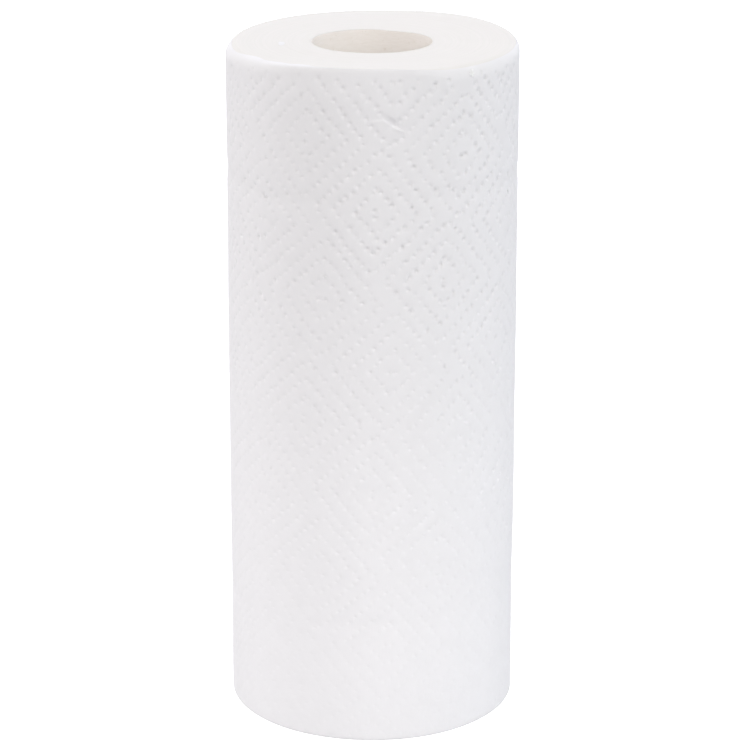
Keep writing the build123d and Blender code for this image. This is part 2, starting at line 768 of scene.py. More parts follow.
@dataclass(frozen=True)
class EmbossPattern:
    """Nested rounded squares of small pits, set on their corners and repeated in rows.

    Each figure is three squares of pits, one inside the other, with a few pits in the middle. The
    figures stand in rows that climb to the left, and every other row is shifted by a quarter of
    the spacing.
    """

    square_half_widths: Series = (5.64, 10.37, 15.04)
    corner_rounds: Series = (1.5, 1.2, 2.0)
    pit_counts: tuple[int, ...] = (14, 28, 40)
    first_pits: Series = (0.056, 0.026, 0.006)
    inner_square_off: Pair = (0.24, 0.0)
    first_figure: Pair = (1.17, 190.5)
    climb_degrees: float = 134.0
    square_lean_degrees: float = 40.4
    spacing_in_row: float = 35.02
    row_spacing: float = 34.65
    row_shift: float = 8.73
    # Rows, and figures in a row, on either side of the first: enough to cover the whole turn.
    reach: int = 14
    even_row_middle: tuple[Pair, ...] = ((-0.2, 1.0), (-0.2, -2.0), (0.4, 8.1), (0.4, -8.9))
    odd_row_middle: tuple[Pair, ...] = ((-0.8, -0.3), (1.7, -0.3), (0.8, 7.9))
    place_error: float = 0.2
    # The soft web gave a little as it was wound: less at the middle of its front than beside it.
    give_at_middle: float = 0.974
    give_beside: float = 2.34
    give_uneven: float = 0.4
    droop: float = 1.63
    give_reach: float = 60.0
    # The pits' strength: its random part, its waves, and its change towards the right.
    uneven: float = 0.27
    waves: float = 0.1
    to_the_right: Pair = (0.4, 0.15)
    weakest: float = 0.12
    strongest: float = 1.7
    # Near the foot the pits have been pressed flatter by handling, most of all at the front.
    pressed_flat: float = 0.02
    pressed_up_to: float = 15.0
    unpressed_over: float = 155.0
    full_turn: float = WHOLE_TURN * RollForm.radius
    seed: int = 21

    def square_of_pits(self, half_width: float, corner: float, count: int, first: float) -> Array:
        """Pits equally spaced round one rounded square.

        Args:
            half_width: From the square's middle to its sides.
            corner: Radius of its corners.
            count: How many pits.
            first: Where the first lies, as a share of the way round.

        Returns:
            Rows of two lengths, along the square's own sides.
        """
        straight = 2 * (half_width - corner)
        quarter = straight + QUARTER_TURN * corner
        travel = (np.arange(count) / count + first) % 1.0 * 4 * quarter
        side = np.floor(travel / quarter)
        rest = travel - side * quarter
        turned = np.clip(rest - straight, 0, None) / corner
        out = half_width - corner * (1 - np.cos(turned))
        on = np.minimum(rest, straight) - half_width + corner + corner * np.sin(turned)
        cos, sin = np.cos(side * QUARTER_TURN), np.sin(side * QUARTER_TURN)
        return np.column_stack([out * cos - on * sin, out * sin + on * cos])

    def figure(self, odd: bool) -> Array:
        """All pits of one figure about its own middle.

        Args:
            odd: Whether the figure stands in a shifted row, whose middle has other pits.

        Returns:
            Rows of lengths along the web and up it.
        """
        lean = math.radians(self.square_lean_degrees)
        turn = np.array([[math.cos(lean), math.sin(lean)], [-math.sin(lean), math.cos(lean)]])
        squares = zip(self.square_half_widths, self.corner_rounds, self.pit_counts, self.first_pits)
        pits = [self.square_of_pits(*square) @ turn for square in squares]
        pits[0] = pits[0] + self.inner_square_off
        pits.append(np.array(self.odd_row_middle if odd else self.even_row_middle))
        return np.concatenate(pits)

    def give(self, places: Array) -> Array:
        """Shifts places of the even pattern to where the wound web has them.

        Args:
            places: Rows of lengths along the web and up it.

        Returns:
            The shifted places.
        """
        along, up = places[:, 0], places[:, 1]
        share = np.clip(along / self.give_reach, -1.15, 1.15)
        beside = self.give_beside * share**3 + self.give_uneven * share**2
        middle = (self.give_at_middle - 1) * self.give_reach * share
        return np.column_stack([along + middle + beside, up - self.droop * share**2])

    def strength(self, places: Array, rng: np.random.Generator) -> Array:
        """How strongly each pit is pressed.

        Args:
            places: Rows of lengths along the web and up it.
            rng: Where the random part is drawn from.

        Returns:
            One strength for each pit, about one.
        """
        along, up = places[:, 0], places[:, 1]
        strength = 1 + self.uneven * rng.standard_normal(len(places))
        strength += self.waves * ripple(along / 100 + up / 160, 22, 4, 0.5, 3)
        handled = 0.675 + 0.325 * np.cos(WHOLE_TURN * along / self.full_turn)
        low_down = 1 - ramp(up, self.pressed_up_to, self.unpressed_over)
        strength *= 1 - handled * (1 - self.pressed_flat) * low_down
        rightward = np.sin(WHOLE_TURN * along / self.full_turn)
        even, squared = self.to_the_right
        strength *= 1 + squared * rightward**2 + even * rightward
        return np.clip(strength, self.weakest, self.strongest)

    def pits(self, along: Pair, up: Pair) -> Array:
        """All pits within a stretch of web.

        Args:
            along: Lowest and highest length along the web.
            up: Lowest and highest length up the web.

        Returns:
            One row for each pit: its length along, its length up, and its strength.
        """
        climb = math.radians(self.climb_degrees)
        row_step = np.array([math.cos(climb), math.sin(climb)])
        across_step = np.array([math.sin(climb), -math.cos(climb)])
        figures = []
        for row in range(-self.reach, self.reach + 1):
            shift = -self.row_shift if row % 2 else 0.0
            row_start = np.array(self.first_figure) + row * self.row_spacing * across_step
            for place in range(-self.reach, self.reach + 1):
                middle = row_start + (place * self.spacing_in_row + shift) * row_step
                figures.append(self.figure(row % 2 == 1) + middle)
        places = self.give(np.concatenate(figures))
        rng = np.random.default_rng(self.seed)
        places = places + rng.normal(0, self.place_error, places.shape)
        pits = np.column_stack([places, self.strength(places, rng)])
        kept = (places > (along[0], up[0])) & (places < (along[1], up[1]))
        return pits[kept.all(axis=1)]


class WebEdge(Enum):
    """How a sheet ends along the roll."""

    TORN = "torn off at its perforation, with a nib at each broken bond"
    PERFORATED = "cut by a row of slits, with bonds between them"
    TUCKED = "runs on out of sight beneath the tail"


@dataclass
class WebSheet:
    """One sheet of the outermost turn, embossed, with its edges turned over the rims.

    The pits come from a formula that lays five thousand of them in nested squares, so the sheet is
    made in mesh code: a pit is two rings and a middle joined by triangles to the paper around it.
    Edit-mode tools on a plain grid would need over two million faces for the same shape.
    """

    name: str
    form: RollForm
    pattern: EmbossPattern
    start: float
    end: float
    start_edge: WebEdge
    end_edge: WebEdge
    thickness: float = 0.45
    pit_half_length: float = 0.94
    pit_half_height: float = 0.8
    # A pit is wider below its middle than above it, and deepest a little below its middle. Its
    # lower side is nearly straight, its upper side round.
    pit_spread: float = 0.22
    pit_drop: float = 0.18
    pit_depth: float = 0.37
    lower_squareness: float = 0.6
    # Round its middle a pit has two rings: how wide each is, how far it has dropped with the
    # middle, and how deep it lies, all as shares.
    pit_rings: tuple[Triple, ...] = ((1.0, 0.0, 0.01), (0.52, 0.7, 0.66))
    ring_points: int = 8
    # The pits end this far from the hooked crease's slope and from the torn tuft.
    crease_limit: float = 0.1
    tuft_clearance: float = 2.4
    # Between pits the paper swells a little.
    pillow_height: float = 0.02
    pillow_reach: float = 0.55
    # The paper's points: their spacing between the pits, along the rims and along the edges, their
    # distance from a pit's middle, and the rows that carry the roundings of the rims.
    grid_step: float = 1.5
    grid_error: float = 0.12
    rim_step: float = 1.2
    upright_step: float = 0.45
    clearance: float = 1.25
    top_rows: Series = (3.6, 3.0, 2.4, 1.8, 1.35, 0.9, 0.45)
    foot_rows: Series = (0.5, 1.0, 1.6, 2.6)
    crease_rows: Series = (-1.0, -0.7, -0.45, -0.2, 0.0, 0.25, 0.5, 0.85, 1.25, 1.7, 2.2, 2.8, 3.6)
    plain_top: float = 2.6
    plain_foot: float = 1.0
    # The hidden back keeps this far inside the paper under the hooked crease.
    back_hollow: Triple = (7.0, 219.0, 8.0)
    perforation_step: float = 5.6
    perforation_start: float = 1.9
    bond_half_width: float = 0.5
    edge_reach: float = 0.9

    def build(self, finish: Material) -> Piece:
        """Makes the sheet and dresses it.

        Args:
            finish: The tissue material.

        Returns:
            The sheet's object.
        """
        pits = self.pattern.pits(
            (self.start + 1.0, self.end - 1.0), (self.plain_foot, self.form.web_width - self.plain_top)
        )
        # The hooked crease and the torn tuft have no whole pits left in them.
        creased = np.abs(self.form.hooked_crease(pits[:, 0], pits[:, 1])) > self.crease_limit
        torn = np.hypot(*(pits[:, :2] - self.form.tuft_place).T) < self.tuft_clearance
        pits = pits[~(creased | torn)]
        rim = self.edge_points()
        outside, pressed = self.outside_points(pits, rim)
        flat, triangles = self.join_up(outside, len(rim))
        inside, inside_triangles = self.join_up(np.concatenate([rim, self.inside_points()]), len(rim))
        front = self.wrap(flat, self.paper_height(flat, pits, pressed), outer=True)
        back = self.wrap(inside, np.full(len(inside), -self.thickness), outer=False)
        first_back = len(front)
        faces = triangles
        faces += [tuple(index + first_back for index in reversed(face)) for face in inside_triangles]
        faces += ring_faces(range(len(rim)), range(first_back, first_back + len(rim)), facing_in=True)
        piece = object_from_arrays(self.name, np.concatenate([front, back]), faces)
        map_to_web(piece.data, np.concatenate([flat, inside]))
        log.info("%s: %d pits", self.name, len(pits))
        return dress(piece, finish, 70)

    def edge_points(self) -> Array:
        """The sheet's outline on the unrolled web, once round, counter-clockwise.

        Returns:
            Rows of lengths along the web and up it.
        """
        start, end, width = self.start, self.end, self.form.web_width
        across = np.linspace(start, end, round((end - start) / self.rim_step), endpoint=False)
        upward = np.linspace(0, width, round(width / self.upright_step), endpoint=False)
        sides = (across, 0), (end, upward), (start + end - across, width), (start, width - upward)
        return np.concatenate([np.column_stack(np.broadcast_arrays(*side)) for side in sides])

    def inside_points(self) -> Array:
        """A coarse grid for the sheet's hidden back.

        Returns:
            Rows of lengths along the web and up it.
        """
        width = self.form.web_width
        across = np.arange(self.start + 4, self.end - 3, 5.0)
        upward = np.arange(4, width - 4, 6.0)
        rows = np.concatenate([[0.6, 1.3], upward, width - np.array(self.top_rows[::2])])
        return lattice(across, rows).reshape(-1, 2)

    def outside_points(self, pits: Array, rim: Array) -> tuple[Array, Array]:
        """The points of the embossed face: outline, pits, and a grid of paper between them.

        Args:
            pits: One row for each pit.
            rim: The outline.

        Returns:
            The points, and for each how deep it lies in its pit, as a share of the pit's depth.
        """
        turn = np.arange(self.ring_points) * WHOLE_TURN / self.ring_points + math.pi / 8
        reach = self.pit_half_length * (1 - self.pit_spread * np.sin(turn))
        squareness = np.where(np.sin(turn) < 0, self.lower_squareness, 1.0)
        sideways = np.sign(np.cos(turn)) * np.abs(np.cos(turn)) ** squareness
        circle = np.column_stack([reach * sideways, self.pit_half_height * np.sin(turn)])
        middles, strength = pits[:, :2], pits[:, 2]
        size = (0.75 + 0.25 * strength)[:, None, None]
        drop = np.array([0.0, self.pit_drop])
        points, depths = [rim], [np.zeros(len(rim))]
        for width, dropped, depth in self.pit_rings:
            points.append((middles[:, None] + width * circle * size - dropped * drop).reshape(-1, 2))
            depths.append(np.repeat(depth * strength, self.ring_points))
        grid = self.grid_points(pits)
        points += [middles - drop, grid]
        depths += [strength, np.zeros(len(grid))]
        return np.concatenate(points), np.concatenate(depths)

    def grid_points(self, pits: Array) -> Array:
        """Points of the paper between the pits, clear of them and of the outline.

        Args:
            pits: One row for each pit.

        Returns:
            Rows of lengths along the web and up it.
        """
        step, width = self.grid_step, self.form.web_width
        first, last = self.start + 0.9, self.end - 0.6
        # Every other row is shifted by half a step, so that the triangles come out even.
        grid = lattice(np.arange(first, last, step), np.arange(4.0, width - 4.0, step * 0.866))
        grid[1::2, :, 0] += step / 2
        grid = grid.reshape(-1, 2)
        grid += np.random.default_rng(31).uniform(-self.grid_error, self.grid_error, grid.shape)
        rows = np.concatenate([self.foot_rows, width - np.array(self.top_rows)])
        rims = lattice(np.arange(first, last, 1.3), rows)
        rims[1::2, :, 0] += 0.65
        beside_edges = [self.start + 0.45, self.start + 1.1, self.end - 0.45, self.end - 1.1]
        columns = lattice(np.array(beside_edges), np.arange(1.0, width - 1.0, 0.9)).swapaxes(0, 1)
        points = np.concatenate([grid, rims.reshape(-1, 2), self.crease_points(), columns.reshape(-1, 2)])
        points = points[(points[:, 0] > self.start + 0.3) & (points[:, 0] < self.end - 0.3)]
        return points[self.pit_distances(points, pits) > self.clearance]

    def crease_points(self) -> Array:
        """Closely set points for the hooked crease, whose step is finer than the plain grid."""
        points = lattice(np.arange(-1.4, 11.6, 0.45), np.array(self.crease_rows)).reshape(-1, 2)
        return points + np.column_stack([0 * points[:, 0], self.form.crease_height(points[:, 0])])

    def pit_distances(self, points: Array, pits: Array) -> Array:
        """Distance from each flat point to the middle of the nearest pit.

        Args:
            points: Rows of lengths along the web and up it.
            pits: One row for each pit.

        Returns:
            One distance for each point.
        """
        tree = KDTree(len(pits))
        for index, (along, up, _) in enumerate(pits):
            tree.insert((along, up, 0), index)
        tree.balance()
        return np.array([tree.find((along, up, 0))[2] for along, up in points])

    def join_up(self, points: Array, outline: int) -> tuple[Array, list[Face]]:
        """Joins flat points with triangles.

        Args:
            points: Rows of two lengths, the outline first.
            outline: How many points the outline has.

        Returns:
            The points, in the order that the triangles count them, and the triangles.
        """
        edges = [(k, (k + 1) % outline) for k in range(outline)]
        result = delaunay_2d_cdt([Vector(point) for point in points], edges, [], 0, 1e-5, True)
        places, faces, origins = result[0], result[2], result[3]
        order = [origin[0] for origin in origins]
        flat = np.empty((len(points), 2))
        flat[order] = np.array([tuple(place) for place in places])
        return flat, [tuple(order[index] for index in face) for face in faces]

    def paper_height(self, flat: Array, pits: Array, pressed: Array) -> Array:
        """How far each point of the embossed face stands out from the web's radius.

        Args:
            flat: The points on the unrolled web.
            pits: One row for each pit.
            pressed: How deep each point lies in its pit, as a share of the depth.

        Returns:
            Millimetres outward.
        """
        pillow = 1 - plateau(self.pit_distances(flat, pits), self.pit_half_length, self.pillow_reach)
        from_rim = np.minimum(flat[:, 1], self.form.web_width - flat[:, 1])
        return self.pillow_height * (pillow * ramp(from_rim, 0, 4) - 0.5) - self.pit_depth * pressed

    def wrap(self, flat: Array, height: Array, outer: bool) -> Array:
        """Winds points of the unrolled web on to the roll.

        Args:
            flat: The points on the unrolled web.
            height: How far each stands out from the web's radius.
            outer: Whether this is the face, whose edges show, rather than the hidden back.

        Returns:
            Rows of x, y and z.
        """
        along, up = flat[:, 0], flat[:, 1]
        nudge, dip = self.edge_change(along, up)
        relief = self.form.relief(along, up)
        if outer:
            relief = relief + self.form.hooked_crease(along, up)
        else:
            hollow_along, hollow_up, half_width = self.back_hollow
            relief = relief - bell(np.hypot(along - hollow_along, up - hollow_up), half_width)
        azimuth = self.form.azimuth(along + nudge)
        inset, level, lean = self.form.fold_over(up, azimuth)
        out = height + dip
        radius = self.form.web_radius(azimuth) - inset + relief + out * np.cos(lean)
        return self.form.cylinder_places(radius, azimuth, np.maximum(level + out * np.sin(lean), 0))

    def edge_change(self, along: Array, up: Array) -> tuple[Array, Array]:
        """What the sheet's two upright edges do to the paper beside them.

        Args:
            along: Lengths along the web.
            up: Lengths up the web.

        Returns:
            The shift along the web and the shift outward of each point.
        """
        nudge, dip = np.zeros_like(along), np.zeros_like(along)
        step = self.perforation_step
        bond = bell(np.mod(up + self.perforation_start, step) - step / 2, self.bond_half_width)
        for place, outward, kind in ((self.start, -1, self.start_edge), (self.end, 1, self.end_edge)):
            distance = np.abs(along - place)
            at_edge = 1 - ramp(distance, 0, self.edge_reach)
            if kind is WebEdge.TORN:
                ragged = 0.10 * ripple(up, 41, 6, 0.2, 1.1)
                nib = bond * (0.55 + 0.25 * ripple(up / step, 42, 4, 0.13, 0.47))
                nudge += outward * at_edge * (nib + ragged)
                loose = 0.1 + 0.07 * ripple(up / 100, 43, 3, 0.6, 2.2)
                dip += loose * ramp(self.form.web_width - up, 0, 12) * bell(distance, 4.5)
            elif kind is WebEdge.PERFORATED:
                nudge -= outward * at_edge * 0.14 * (1 - 1.2 * bond)
                dip -= 0.16 * (1 - bond) * at_edge
        return nudge, dip


# The wound turns


@dataclass
class WoundTurns:
    """Everything inside the outermost turn: the sawn edges of all turns on both ends, and the eye.

    The turns are one spiral that grows by a sheet's thickness each time round, which no Blender
    operator draws, so both end faces are made in mesh code with a row of points in each crease and
    two on each turn's edge.
    """

    form: RollForm
    columns: int = 192
    rows_per_turn: int = 3
    # The end faces' relief: creases between turns, uneven turns, wider bands and broad waves.
    crease_depth: float = 0.02
    uneven_turns: float = 0.022
    bands: float = 0.015
    waves: float = 0.09
    # The turns waver in their own plane, and those within a radius share the core's pressed shape.
    waver: float = 0.10
    pressed_within: float = 44.0
    eye_bevel: float = 0.14
    # The soft sawn edges spread over the end of the core, sink a little there and hide it.
    eye_lip: float = 0.8
    lip_height: float = 0.22
    lip_sink: float = 0.12
    walls_between: int = 7
    # The end face meets the outermost sheet's edge over this reach, and this far inside it.
    meeting_reach: float = 5.0
    meeting_gap: float = 0.03
    # Between its ends the body stays this far inside the outermost sheet, which hides it.
    wall_gap: float = 2.2
    wall_ends: Pair = (4.0, 8.0)
    places: list[Array] = field(default_factory=list, init=False)
    azimuth: Array = field(init=False)

    def __post_init__(self) -> None:
        """Spaces the columns evenly, once round from the tail."""
        self.azimuth = self.form.tail_azimuth + 360 * np.arange(self.columns) / self.columns

    def build(self, finish: Material) -> Piece:
        """Makes the wound body and dresses it.

        Args:
            finish: The material of sawn tissue edges.

        Returns:
            The body's object.
        """
        top_eye, top_wall, faces = self.end_face(is_top=True)
        foot_eye, foot_wall, foot_faces = self.end_face(is_top=False)
        faces += [tuple(reversed(face)) for face in foot_faces]
        faces += self.walls([foot_eye, *self.eye_rings(), top_eye], facing_in=True)
        drawn_in = self.form.web_radius(self.azimuth) - self.wall_gap
        heights = (self.wall_ends[0], self.form.web_width - self.wall_ends[1])
        between = [self.ring(drawn_in, height) for height in heights]
        faces += self.walls([foot_wall, *between, top_wall], facing_in=False)
        return dress(object_from_arrays("wound_turns", np.concatenate(self.places), faces), finish, 50)

    def keep(self, places: Array) -> range:
        """Adds points to the body.

        Args:
            places: Rows of x, y and z.

        Returns:
            Their numbers.
        """
        first = sum(map(len, self.places))
        self.places.append(places)
        return range(first, first + len(places))

    def ring(self, radius: Array, height: float | Array) -> range:
        """Adds a ring of points to the body and gives their numbers."""
        return self.keep(self.form.cylinder_places(radius, self.azimuth, height))

    def walls(self, rings: list[range], facing_in: bool) -> list[Face]:
        """Joins each ring with the one above it."""
        return [face for pair in zip(rings, rings[1:]) for face in ring_faces(*pair, facing_in)]

    def eye_rings(self) -> list[range]:
        """The wall of the eye, hidden by the core but for a hair's breadth at each end.

        Returns:
            Its rings of points, from the lower end up.
        """
        low, high = self.lip_height, self.form.web_width - self.lip_height
        heights = np.linspace(0, self.form.web_width, self.walls_between + 2)
        heights[0], heights[-1] = low, high
        levels = [(low, self.eye_lip), *((height, 0.0) for height in heights), (high, self.eye_lip)]
        return [self.ring(self.eye(height) - lip, height) for height, lip in levels]

    def end(self, is_top: bool) -> Pair:
        """Height of an end's plane, and the direction from it into the roll."""
        return (self.form.web_width, -1.0) if is_top else (0.0, 1.0)

    def eye(self, height: float) -> Array:
        """Radius of the pressed eye at a height."""
        return self.form.eye_radius + self.form.eye_shift(self.azimuth, height)

    def end_face(self, is_top: bool) -> tuple[range, range, list[Face]]:
        """One end of the roll, its rows following the spiral of the web.

        Args:
            is_top: Whether this is the upper end.

        Returns:
            The numbers of the points round the eye, of those round the outside, and the faces.
        """
        form = self.form
        plane, inward = self.end(is_top)
        outside, outside_level = edge = self.sheet_edge(is_top)
        row_step = form.sheet / self.rows_per_turn
        spread = form.radius + form.sheet - form.eye_radius + form.eye_press + 3.5
        rows = np.arange(int(spread / row_step) + 2)[:, None]
        true_radius = form.web_radius(self.azimuth) - rows * row_step
        share = ramp(self.pressed_within - true_radius, 0, self.pressed_within - form.eye_radius) ** 1.5
        radius = true_radius + share * form.eye_shift(self.azimuth, plane)
        wavering = ripple(self.azimuth / 360 + 0 * radius, 51 + is_top, 3, 2, 2)
        radius += self.waver * np.sin(math.pi * ramp(true_radius, 23, 24)) * wavering
        level = plane + inward * self.face_depth(rows, true_radius, edge, is_top)
        # Inside the eye's bevel the paper follows the pressed core.
        eye = self.eye(plane) - self.eye_lip
        eye_ring = self.ring(eye, plane + inward * self.eye_bevel)
        wall_ring = self.ring(outside, plane + inward * outside_level)
        at_eye = radius < eye + self.eye_bevel * 0.6
        at_outside = radius > outside - 0.06
        between = ~(at_eye | at_outside)
        numbers = np.where(at_eye, np.array(eye_ring), np.array(wall_ring))
        azimuth = np.broadcast_to(self.azimuth, radius.shape)
        numbers[between] = self.keep(form.cylinder_places(radius[between], azimuth[between], level[between]))
        return eye_ring, wall_ring, self.row_faces(numbers)

    def row_faces(self, numbers: Array) -> list[Face]:
        """Joins the rows of an end face, which start one turn further in after each time round.

        Args:
            numbers: The number of the point in each row and column.

        Returns:
            The faces, without those that lie wholly past the eye or the outside.
        """
        faces = []
        for column in range(self.columns):
            beyond = (column + 1) % self.columns
            shift = self.rows_per_turn if beyond == 0 else 0
            for row in range(shift, len(numbers) - 1):
                far = row - shift
                corners = numbers[row, column], *numbers[far : far + 2, beyond], numbers[row + 1, column]
                face = tuple(dict.fromkeys(map(int, corners)))
                if len(face) > 2:
                    faces.append(face)
        return faces

    def face_depth(self, rows: Array, radius: Array, edge: tuple[Array, Array], is_top: bool) -> Array:
        """How far in from the end's plane each point of an end face lies.

        Args:
            rows: The number of each row.
            radius: The radius of each point before it is pressed.
            edge: The radius of the outermost sheet's edge, and how far in from the end's plane it lies.
            is_top: Whether this is the upper end.

        Returns:
            Millimetres inward, negative where the face stands proud.
        """
        form, azimuth = self.form, self.azimuth
        web = form.web_radius(azimuth)
        outside, outside_level = edge
        rim = form.top_round(azimuth) if is_top else np.full(self.columns, form.foot_round)
        turn = rows / self.rows_per_turn - (azimuth - form.tail_azimuth) / 360
        on_crease = rows % self.rows_per_turn == 0
        crease = self.crease_depth * (1.1 + 0.55 * ripple(turn, 53 + is_top, 5, 0.2, 3.7))
        depth = np.where(on_crease, np.clip(crease, 0, None), 0.0)
        depth -= self.uneven_turns * ripple(turn, 55 + is_top, 6, 0.1, 4.3)
        depth -= self.bands * ripple(radius / 10, 57 + is_top, 5, 0.15, 1.4)
        east, north = radius * np.cos(np.radians(azimuth)), radius * np.sin(np.radians(azimuth))
        broad = ripple(east / 100, 59 + is_top, 5, 3, 10) * ripple(north / 100, 61 + is_top, 5, 3, 10)
        depth -= self.waves * broad
        near_eye = bell(np.clip(radius - form.eye_radius + self.eye_lip, 0, None), 0.8)
        depth += self.rounding(web - radius, rim) + self.lip_sink * near_eye
        proud, lifted = (form.proud(azimuth), form.lifted(azimuth)) if is_top else (0.0, 0.0)
        drawn_in = outside_level + (proud + lifted) - self.rounding(web - outside, rim)
        depth += drawn_in * (1 - ramp(outside - radius, 0, self.meeting_reach)) ** 2
        return np.clip(depth, 0, None) - proud * ramp(radius, 24, 24) - lifted * ramp(radius, 30, 19) ** 1.4

    def rounding(self, inset: Array, rim: Array) -> Array:
        """How far a rim of a radius has fallen at a place this far in from the outside."""
        return rim - np.sqrt(rim**2 - (rim - np.clip(inset, 0, rim)) ** 2)

    def sheet_edge(self, is_top: bool) -> tuple[Array, Array]:
        """Where the outermost sheet's edge lies, which the turn inside it meets.

        Args:
            is_top: Whether this is the upper end.

        Returns:
            The radius, and how far in from the end's plane, at each azimuth.
        """
        form, azimuth = self.form, self.azimuth
        plane, inward = self.end(is_top)
        along = np.radians(azimuth - FRONT_AZIMUTH) * form.radius
        up = np.full_like(azimuth, plane)
        inset, level, lean = form.fold_over(up, azimuth)
        gap = form.edge_gap(azimuth) if is_top else 0.0
        outermost = form.web_radius(azimuth) - inset + form.relief(along, up)
        fall = inward * (level - 0.05 * np.sin(lean) - plane)
        return outermost - 0.05 * np.cos(lean) - self.meeting_gap - gap, fall + self.meeting_gap - 1.5 * gap


# The core


@dataclass
class CoreTube:
    """The cardboard core: a lining ply wound up the tube as a helix, over a plain backing tube."""

    form: RollForm
    bore_radius: float = 20.5
    wall: float = 0.8
    # The paper's spread edges lie on the core's ends, so little of its setback is left.
    setback: float = 0.22
    edge_round: float = 0.1
    lining: float = 0.3
    ply_lead: float = 74.0
    ply_turns: int = 5
    seam_gap: float = 0.25
    # How far the ply's start is let down, which turns its seam round the tube.
    seam_drop: float = 25.0
    ply_cuts: int = 12
    backing_cuts: int = 9
    columns: int = 128

    def build(self, finish: Material) -> Piece:
        """Makes the core, presses it out of round as the eye is, and dresses it.

        Args:
            finish: The board material.

        Returns:
            The core's object.
        """
        piece = join([self.backing_tube(), self.lining_ply()], "cardboard_core")
        places = coordinates(piece) / MM
        azimuth = np.degrees(np.arctan2(places[:, 1], places[:, 0]))
        radius = np.hypot(places[:, 0], places[:, 1]) + self.form.eye_shift(azimuth, places[:, 2])
        move_vertices(piece, self.form.cylinder_places(radius, azimuth, places[:, 2]))
        return dress(piece, finish, 40)

    def backing_tube(self) -> Piece:
        """The tube behind the lining: an open cylinder given a wall and eased edges.

        Returns:
            The tube.
        """
        deselect_all()
        bpy.ops.mesh.primitive_cylinder_add(
            vertices=self.columns,
            radius=(self.bore_radius + self.wall) * MM,
            depth=(self.form.web_width - 2 * self.setback) * MM,
            end_fill_type="NOTHING",
            location=(0, 0, self.form.web_width / 2 * MM),
        )
        tube = bpy.context.object
        settle_place(tube)
        bpy.ops.object.mode_set(mode="EDIT")
        bpy.ops.mesh.select_all(action="SELECT")
        bpy.ops.mesh.subdivide(number_cuts=self.backing_cuts, quadcorner="STRAIGHT_CUT")
        bpy.ops.mesh.normals_make_consistent(inside=False)
        bpy.ops.object.mode_set(mode="OBJECT")
        thicken(tube, self.wall - self.lining, -1)
        eased = tube.modifiers.new("eased_edges", "BEVEL")
        eased.width = self.edge_round * MM
        eased.segments = 2
        eased.limit_method = "ANGLE"
        bpy.ops.object.modifier_apply(modifier="eased_edges")
        return tube

    def lining_ply(self) -> Piece:
        """The lining: an upright edge as tall as the ply is wide, screwed up the tube.

        Returns:
            The ply.
        """
        deselect_all()
        bpy.ops.mesh.primitive_plane_add(size=2 * MM, location=(0, 0, 0))
        ply = bpy.context.object
        bpy.ops.object.mode_set(mode="EDIT")
        select_vertices(ply, lambda place: place.x > 0)
        bpy.ops.mesh.delete(type="VERT")
        bpy.ops.mesh.select_all(action="SELECT")
        bpy.ops.transform.rotate(value=QUARTER_TURN, orient_axis="X", center_override=(0, 0, 0))
        half = (self.ply_lead - self.seam_gap) / 2
        bpy.ops.transform.resize(value=(1, 1, half), center_override=(0, 0, 0))
        bpy.ops.mesh.subdivide(number_cuts=self.ply_cuts)
        bpy.ops.object.mode_set(mode="OBJECT")
        # The edge moves out to the bore, and down so that the ply starts below the core.
        places = coordinates(ply)
        from_axis = np.hypot(places[0, 0], places[0, 1])
        outward = places[0, :2] / from_axis * (self.bore_radius * MM - from_axis)
        places += (*outward, -(self.ply_lead + self.seam_drop) * MM)
        move_vertices(ply, places / MM)
        screw = ply.modifiers.new("wound_up", "SCREW")
        screw.axis = "Z"
        screw.angle = WHOLE_TURN
        screw.screw_offset = self.ply_lead * MM
        screw.iterations = self.ply_turns
        screw.steps = screw.render_steps = self.columns
        screw.use_merge_vertices = False
        screw.use_smooth_shade = False
        bpy.ops.object.modifier_apply(modifier="wound_up")
        bpy.ops.object.mode_set(mode="EDIT")
        bpy.ops.mesh.select_all(action="SELECT")
        bpy.ops.mesh.remove_doubles(threshold=0.00001)
        bpy.ops.object.mode_set(mode="OBJECT")
        first = ply.data.polygons[0]
        if first.normal.dot(first.center.to_2d().to_3d()) > 0:
            bpy.ops.object.mode_set(mode="EDIT")
            bpy.ops.mesh.flip_normals()
            bpy.ops.object.mode_set(mode="OBJECT")
        thicken(ply, self.lining, -1)
        self.saw_off()
        return ply

    def saw_off(self) -> None:
        """Cuts the wound ply square at both ends of the core."""
        bpy.ops.object.mode_set(mode="EDIT")
        for height, clear_above in ((self.setback, False), (self.form.web_width - self.setback, True)):
            bpy.ops.mesh.select_all(action="SELECT")
            bpy.ops.mesh.bisect(
                plane_co=(0, 0, height * MM),
                plane_no=(0, 0, 1),
                use_fill=True,
                clear_outer=clear_above,
                clear_inner=not clear_above,
            )
        bpy.ops.object.mode_set(mode="OBJECT")


# Small marks


